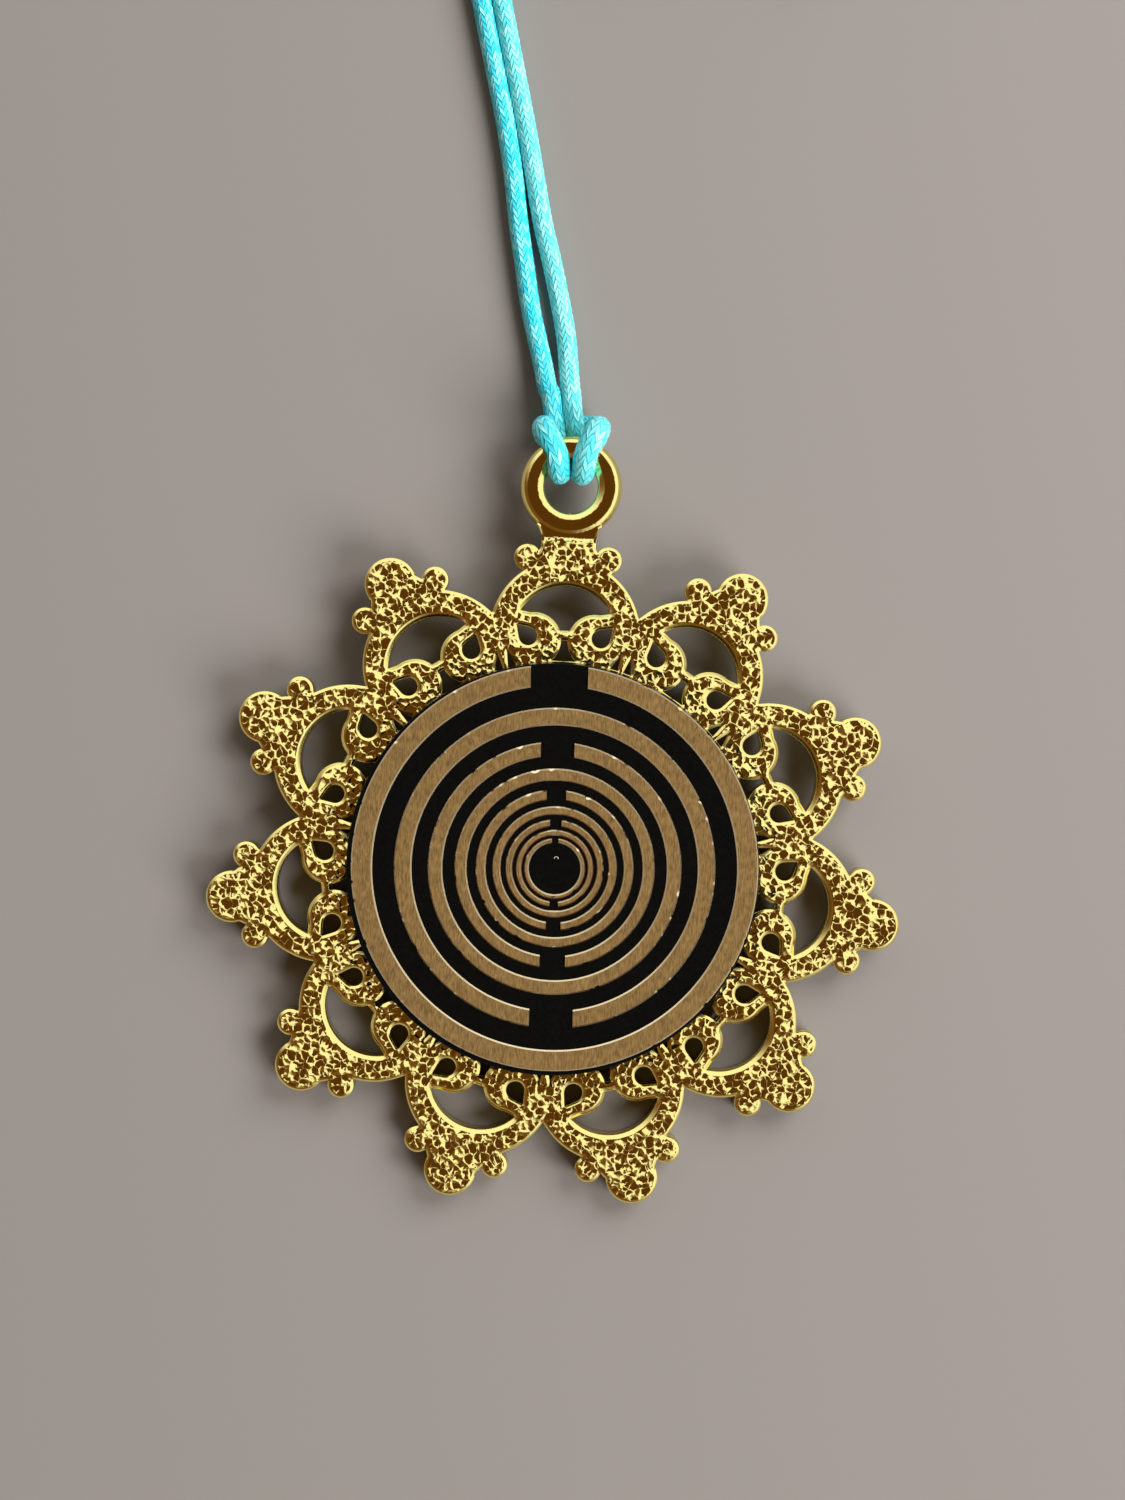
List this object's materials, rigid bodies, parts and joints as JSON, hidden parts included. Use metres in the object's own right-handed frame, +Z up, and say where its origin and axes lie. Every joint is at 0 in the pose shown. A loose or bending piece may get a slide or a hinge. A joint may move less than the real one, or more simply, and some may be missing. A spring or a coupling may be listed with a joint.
{
  "type": "pendant amulet on a cord",
  "caption": "Round cast filigree pendant with a ring bail and a glued black disc that carries concentric split rings, on a round satin cord tied with a lark's head hitch.",
  "frame": {"origin": "on the surface the pendant lies on, under the middle of the pendant with its bail", "axes": "+Y runs from the lower lobes to the bail, +Z is up out of the pendant's front, +X is to the right seen from the front"},
  "size_m": [0.0508, 0.1237, 0.0055],
  "materials": {
    "gilt_casting": "bright gold plating over a nugget-textured casting with smooth rims",
    "foam_pad": "white double-sided foam",
    "black_core": "satin black engraving laminate core",
    "copper_cap": "fine brushed copper-coloured cap of the laminate",
    "satin_cord": "shiny braided turquoise satin cord",
    "tie_band": "thin pale band"
  },
  "bodies": {
    "pendant": {"filigree_frame": "gilt_casting", "adhesive_pad": "foam_pad", "disc_core": "black_core", "cap_ring_1": "copper_cap", "cap_ring_2": "copper_cap", "cap_ring_3": "copper_cap", "cap_ring_4": "copper_cap", "cap_ring_5": "copper_cap", "cap_ring_6": "copper_cap", "cap_ring_7": "copper_cap", "cap_ring_8": "copper_cap", "cap_ring_9": "copper_cap"},
    "cord": {"cord_hitch": "satin_cord", "cord_left_run": "satin_cord", "cord_right_run": "satin_cord", "cord_coil_left": "satin_cord", "cord_coil_right": "satin_cord", "end_knot": "satin_cord", "coil_tie": "tie_band"}
  },
  "joints": [
    {"name": "bail_swing", "type": "hinge", "parent": "pendant", "child": "cord", "pos_m": [0, 0.02711, 0.00289], "axis": [1, 0, 0], "range_deg": [-60, 60]}
  ]
}
